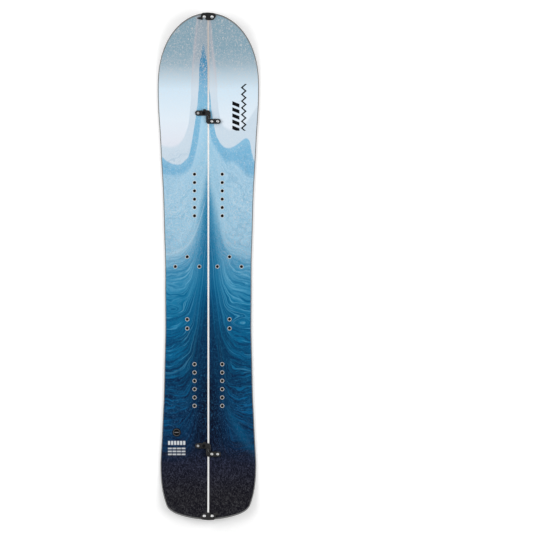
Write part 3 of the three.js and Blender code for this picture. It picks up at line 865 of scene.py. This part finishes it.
def insert_parts(points):
    """A moulded block, its collars with lead-in chamfer and threaded bore, and their cutters."""
    rounds = [q for x, y in points for q in arc(x, y, 7.2, 0, 345, 23)]
    block = slab(hull(rounds), 2, 6.55, 0.4, 2)
    profile = [(0, 3.0), (3.25, 3.0)]
    z = 3.3
    while z < TOP - 1.2:
        profile += [(3.45, z), (3.2, z + 0.25)]
        z += 0.6
    profile += [(3.45, TOP - 0.75), (4.0, TOP - 0.08), (4.45, TOP - 0.05), (COLLAR, TOP - 0.2),
                (COLLAR, 6.7), (COLLAR, 2.4), (0, 2.4)]
    collar = lathe(profile, 32)
    collars = [moved(collar, x, y) for x, y in points]
    return block, collars, [moved(rod(COLLAR, 2.4, 9), x, y) for x, y in points]


def inserts(name, points, side, flip):
    block, collars, cutters = insert_parts(points)
    obj = to_object(f"{side}_{name}_set", flip(block))
    cut(obj, [flip(c) for c in cutters])
    extra = to_object("extra", flip(merged(collars)))
    bm = bmesh.new()
    bm.from_mesh(obj.data)
    bm.from_mesh(extra.data)
    bm.to_mesh(obj.data)
    bm.free()
    bpy.data.objects.remove(extra)
    finish_piece(obj, [f"{side}_{name}"], f"{side}_half", INSERT)


def top_sheet_holes(side):
    """Holes for inserts, latch or catch screws and tip bolts, as on the right half."""
    points = [p for group in GROUPS.values() for p in group]
    holes = [moved(rod(COLLAR_HOLE, 6, 12), x, y) for x, y in points]
    screws = [(x, y, SCREW_HOLE) for x, y in CATCH_SCREWS.values()]
    if side == "left":
        screws = [(-PIVOT_X, 0, BOLT_HOLE), (-LATCH_SCREW_X, 0, SCREW_HOLE)]
    holes += [moved(rod(r, 4, 12), x, y0 + y) for y0 in LATCH_Y.values() for x, y, r in screws]
    return holes + [moved(rod(BOLT_HOLE, -2, 12), matrix=post_matrix(end)) for end in (1, -1)]


def post_matrix(end):
    return tip_matrix(end, "base") @ Matrix.Translation((end * POST_X, 0, 0))


def half(side):
    body = f"{side}_half"
    flip = mirrored if side == "left" else (lambda s: s)

    def layer(name, shape, node, material, cutters=()):
        piece(f"{side}_{name}", flip(shape), [f"{side}_{node}"], body, material,
              [flip(c) for c in cutters])

    layer("print", panel(below_top(SHEET), surface_top), "top_sheet", PRINT,
          top_sheet_holes(side))
    nuts = [moved(rod(NUT_HOLE, -2, 1.5), matrix=post_matrix(end)) for end in (1, -1)]
    layer("running_base", panel(lambda y: 0.0, lambda y: BASE_H, False), "base", BASE, nuts)
    edge = [(0.3, 0.0), (0.05, 0.12), (0.0, 0.4), (0.0, 1.85), (0.15, EDGE_H), (STRIP, EDGE_H),
            (STRIP, 0.0)]
    layer("edge_outer", outer_strip(edge), "outer_edge", STEEL)
    wall = [(GAP, EDGE_H + GAP), (0.95, below_top(0.5)), (1.1, below_top(0.15)),
            (1.35, surface_top), (STRIP, surface_top), (STRIP, EDGE_H + GAP)]
    layer("wall_outer", outer_strip(wall), "outer_sidewall", OUTER_WALL)
    edge = [(SEAM, 0.15), (SEAM + 0.15, 0.0), (STRIP, 0.0), (STRIP, EDGE_H), (SEAM, EDGE_H)]
    layer("edge_inner", inner_strip(edge), "inner_edge", STEEL)
    wall = [(SEAM, EDGE_H + GAP), (SEAM, below_top(0.3)), (SEAM + 0.25, surface_top),
            (STRIP, surface_top), (STRIP, EDGE_H + GAP)]
    layer("wall_inner", inner_strip(wall), "inner_sidewall", INNER_WALL)
    for name, points in GROUPS.items():
        inserts(name, points, side, flip)


for name in ("left", "right"):
    half(name)


# ---------------------------------------------------------------------------------------------
# Tip hooks
def tip_hook_outline():
    return [*arc(14.5, 2.8, 9, -52, 72, 20), (8, 12.4), (0, 13.2), (-8, 12.9),
            *arc(-14, 4.8, 7.8, 102, 188, 14), (-22.6, -1.2), (-27.4, -2.4), (-32.2, -4.0),
            (-33.2, -4.8), (-33.3, -5.8), (-31.6, -6.9), (-24, -9.4), (-18.2, -10.9),
            (-17.3, -10.8), (-16.9, -9.8), (-16.9, -5.4), (-16.2, -2.4),
            *arc(-11.9, 0, 3.3, 175, 10, 16), (-8.7, -4.6), *arc(-3.4, -6.2, 5.4, 185, 262, 10),
            (8, -11.7), (15.6, -10.4)]


def hex_socket(crown, depth, radius=1.9):
    return slab(arc(0, 0, radius, 0, 300, 5), crown - depth, crown + 3)


def dome_bolt(thick):
    """A bolt through the board and the hook, and the height of its crown."""
    under = HOOK_TOP + 0.3
    crown = under + 2.9
    shape = lathe([(0, 1.9 - thick), (2.5, 1.9 - thick), (2.8, 2.2 - thick), (2.8, under),
                   (4.5, under), (4.8, under + 0.15), (4.9, under + 0.5), (4.75, under + 1.0),
                   (4.3, under + 1.65), (3.5, under + 2.3), (2.6, under + 2.65),
                   (1.4, under + 2.85), (0, crown)], 48)
    return shape, crown


def washer_ring():
    return lathe([(BOLT_HOLE, 0.25), (BOLT_HOLE, 1.2), (6.1, 1.2), (6.35, 1.0), (6.35, 0.4),
                  (6.2, 0.25)], 40)


def barrel_nut():
    return lathe([(0, 0.75), (2.3, 0.75), (2.75, 0.35), (3.0, 0.22), (4.5, 0.22), (4.68, 0.35),
                  (4.7, 1.2), (4.0, 1.2), (4.0, 3.6), (3.1, 3.6), (3.1, 1.6), (0, 1.6)], 40)


def tip_clip(end, name):
    top, base = tip_matrix(end, "top"), tip_matrix(end, "base")
    thick = (top.translation - base.translation).length
    halves = ("right_half", "left_half") if end > 0 else ("left_half", "right_half")
    plate = slab(tip_hook_outline(), HOOK_LOW, HOOK_TOP, 0.55, 3)
    piece(f"{name}_hook_plate", moved(plate, matrix=top), [f"{name}_hook"], f"{name}_hook",
          CLIP, [moved(moved(rod(BOLT_HOLE, 0, 9), POST_X), matrix=top)])
    for post, x, body in (("pivot", POST_X, halves[0]), ("catch", -POST_X, halves[1])):
        shape, crown = dome_bolt(thick)
        up = top @ Matrix.Translation((x, 0, 0))
        down = base @ Matrix.Translation((x, 0, 0))
        piece(f"{name}_{post}_domed_bolt", moved(shape, matrix=up), [f"{name}_{post}_bolt"], body,
              BOLT, [moved(hex_socket(crown, 1.5), matrix=up)])
        piece(f"{name}_{post}_washer_ring", moved(washer_ring(), matrix=up),
              [f"{name}_{post}_washer"], body, WASHER)
        piece(f"{name}_{post}_barrel_nut", moved(barrel_nut(), matrix=down),
              [f"{name}_{post}_nut"], body, NUT)


tip_clip(1, "nose")
tip_clip(-1, "tail")


# ---------------------------------------------------------------------------------------------
# Centre latches, drawn about the middle of the seam at the top sheet's surface
def latch_plate(name, at):
    outline = [*arc(-32.4, 0, 8.2, 90, 270, 24), (-8.6, -8.2), *arc(-8.6, -6.2, 2, -90, 0, 5),
               *arc(-8.6, 6.2, 2, 0, 90, 5)]
    plate = slab(outline, 0.3, 2.7, 0.45, 2)
    sink = lathe([(0, -1), (2.3, -1), (2.3, 0.9), (4.3, 2.75), (4.3, 4), (0, 4)], 32)
    piece(f"{name}_base_plate", at(plate), [f"{name}_latch_plate"], "left_half", CLIP,
          [at(rod(BOLT_HOLE, -1, 9), PIVOT_X), at(sink, LATCH_SCREW_X)])
    crown = 2.66
    screw = lathe([(0, -4.6), (1.6, -4.6), (2.0, -4.2), (2.0, 0.9), (3.8, 2.5), (3.8, 2.62),
                   (0, crown)], 32)
    piece(f"{name}_plate_screw", at(screw, LATCH_SCREW_X), [f"{name}_latch_screw"], "left_half",
          BOLT, [at(hex_socket(crown, 1.3, 1.7), LATCH_SCREW_X)])


def latch_arm(name, at):
    """The turning arm with its thumb nub, and the bolt it turns on."""
    outline = [*arc(PIVOT_X, 0, 8.1, 90, 270, 24), (-1.4, -8.1), *arc(-1.0, -9.6, 1.5, 90, 0, 4),
               (0.5, -15.8), (1.5, -17.1), (4.3, -17.2), (6.4, -15), (7, -13),
               *arc(-2, -0.8, 9, 0, 90, 14)]
    arm = slab(outline, ARM_LOW, ARM_TOP, 0.55, 3)
    nub = slab([(-7, 6.4), (-8, 11.2), (-9, 12), (-14.2, 12.1), (-15.4, 11.4), (-17, 6.4)],
               ARM_LOW + 0.05, ARM_TOP + 1.4, 0.6, 3)
    obj = to_object(f"{name}_turning_arm", at(arm))
    combine(obj, at(nub), "UNION")
    cut(obj, [at(rod(BOLT_HOLE, 0, 9), PIVOT_X)])
    finish_piece(obj, [f"{name}_latch_arm"], f"{name}_arm", CLIP)
    r, crown = 2.8, 7.5
    pivot = lathe([(0, -4.6), (2.4, -4.6), (r, -4.2), (r, 6.3), (4.9, 6.3), (5.2, 6.5),
                   (5.15, 6.9), (4.4, 7.45), (2.8, crown), (0, crown)], 40)
    piece(f"{name}_pivot_bolt", at(pivot, PIVOT_X), [f"{name}_latch_pivot"], "left_half",
          DARK_BOLT, [at(hex_socket(crown, 2, 2.1), PIVOT_X)])


def latch_catch(name, at):
    outline = [(-0.5, -9.4), (-0.9, -8.8), (-1.6, -8.6), (-5.4, -8.6), (-6.4, -9), (-6.9, -10.2),
               *arc(1.1, -24.9, 8, 180, 270, 14), *arc(30.3, -25.3, 7.6, -90, 90, 24),
               (1.2, -17.7), *arc(1.0, -16.2, 1.5, 270, 180, 4)]
    body = slab(outline, 0.3, ARM_TOP, 0.7, 3)
    wells = []
    for x, y in CATCH_SCREWS.values():
        wells += [at(rod(SCREW_HOLE, -1, 9), x, y), at(rod(4.5, 4.6, 9), x, y)]
    piece(f"{name}_catch_body", at(body), [f"{name}_catch"], "right_half", CLIP, wells)
    crown = 7.15
    screw = lathe([(0, -4.6), (1.6, -4.6), (2, -4.2), (2, 4.85), (4.1, 4.85), (4.2, 5.1),
                   (4.1, 5.9), (3.6, 6.6), (2.8, 7.05), (1.6, crown), (0, crown)], 40)
    for which, (x, y) in CATCH_SCREWS.items():
        piece(f"{name}_screw_{which}", at(screw, x, y), [f"{name}_catch_screw_{which}"],
              "right_half", BOLT, [at(hex_socket(crown, 1.5, 1.9), x, y)])


def latch(name):
    up = Matrix.Translation((0, LATCH_Y[name], TOP))

    def at(shape, x=0, y=0):
        return moved(moved(shape, x, y), matrix=up)

    latch_plate(name, at)
    latch_arm(name, at)
    latch_catch(name, at)


latch("front")
latch("rear")

# CAD solids that keep their own shape
for name, obj in NODES.items():
    for ending, material in (("_core", WOOD), ("_spacer", SPACER)):
        if name.endswith(ending):
            obj.data.materials.clear()
            obj.data.materials.append(material)

# ---------------------------------------------------------------------------------------------
# Floor, light and camera
scene = bpy.context.scene
bpy.ops.mesh.primitive_plane_add(size=14, location=(0, 0, -0.0005))
floor = bpy.context.object
floor.name = "floor"
g = Graph("floor_paint")
speckle = g.noise(None, 0.02, 2, 0.5)
paint = g.mix(speckle, linear(250, 250, 250), linear(253, 253, 253))
floor.data.materials.append(g.finish(paint, 0.9, Emission_Color=(1, 1, 1, 1),
                                     Emission_Strength=0.2))

world = bpy.data.worlds.new("studio")
scene.world = world
world.use_nodes = True
world.node_tree.nodes["Background"].inputs[0].default_value = (1.0, 1.0, 1.0, 1.0)
world.node_tree.nodes["Background"].inputs[1].default_value = 0.31


def area(name, location, target, size, power):
    data = bpy.data.lights.new(name, "AREA")
    data.shape, data.size, data.size_y, data.energy = "RECTANGLE", size[0], size[1], power
    obj = bpy.data.objects.new(name, data)
    scene.collection.objects.link(obj)
    obj.location = location
    obj.rotation_euler = (Vector(target) - Vector(location)).to_track_quat("-Z", "Y").to_euler()


area("left_softbox", (-2.9, 0.5, 2.6), (0, 0, 0), (2.6, 3.2), 85)
area("right_softbox", (2.9, -0.2, 2.6), (0, 0, 0), (2.6, 3.2), 85)
area("head_softbox", (-0.4, 3.6, 2.0), (0, 0.2, 0), (2.6, 1.6), 26)

# Straight down from far off; the board lies left of the middle of the view
CAMERA_HEIGHT, CAMERA_RIGHT = 13.57, 0.1775
camera = bpy.data.cameras.new("camera")
camera.lens, camera.sensor_width = 300, 36
view = bpy.data.objects.new("camera", camera)
scene.collection.objects.link(view)
scene.camera = view
view.location = (CAMERA_RIGHT, 0.0, CAMERA_HEIGHT)
view.rotation_euler = (0, 0, 0)
scene.view_settings.view_transform = "Standard"
